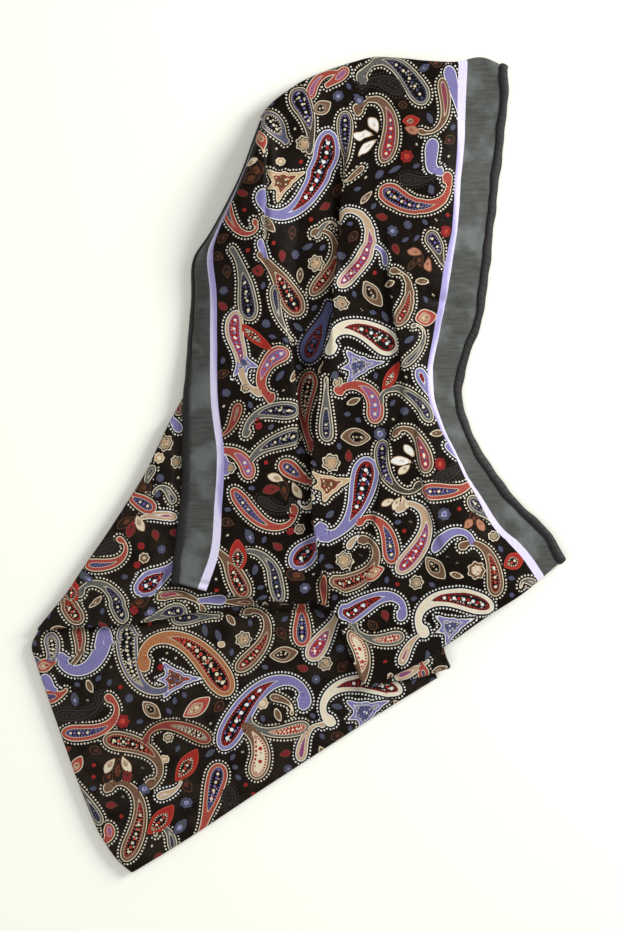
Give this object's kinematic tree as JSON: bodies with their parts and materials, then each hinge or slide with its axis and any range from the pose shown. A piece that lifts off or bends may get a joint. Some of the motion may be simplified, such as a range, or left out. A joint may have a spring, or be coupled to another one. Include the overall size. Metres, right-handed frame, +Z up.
{
  "type": "silk cravat",
  "caption": "Long flat silk scarf with a printed paisley ground, grey and lilac borders and rolled hems, dropped flat on a surface in loose folds",
  "frame": {"origin": "centre of the heap's box in plan, on the surface that it lies on", "axes": "+Z up out of the table, +Y along the heap towards its upper fold, +X to the right as seen from above"},
  "size_m": [0.3752, 0.5722, 0.0252],
  "materials": {
    "printed_silk": "printed silk",
    "rolled_hem": "rolled black hem"
  },
  "bodies": {
    "root": {"front_stretch": "printed_silk", "side_stretch": "printed_silk", "lower_stretch": "printed_silk", "corner_fold": "printed_silk", "hidden_layers": "printed_silk", "hem_left": "rolled_hem", "hem_right": "rolled_hem"}
  },
  "joints": []
}
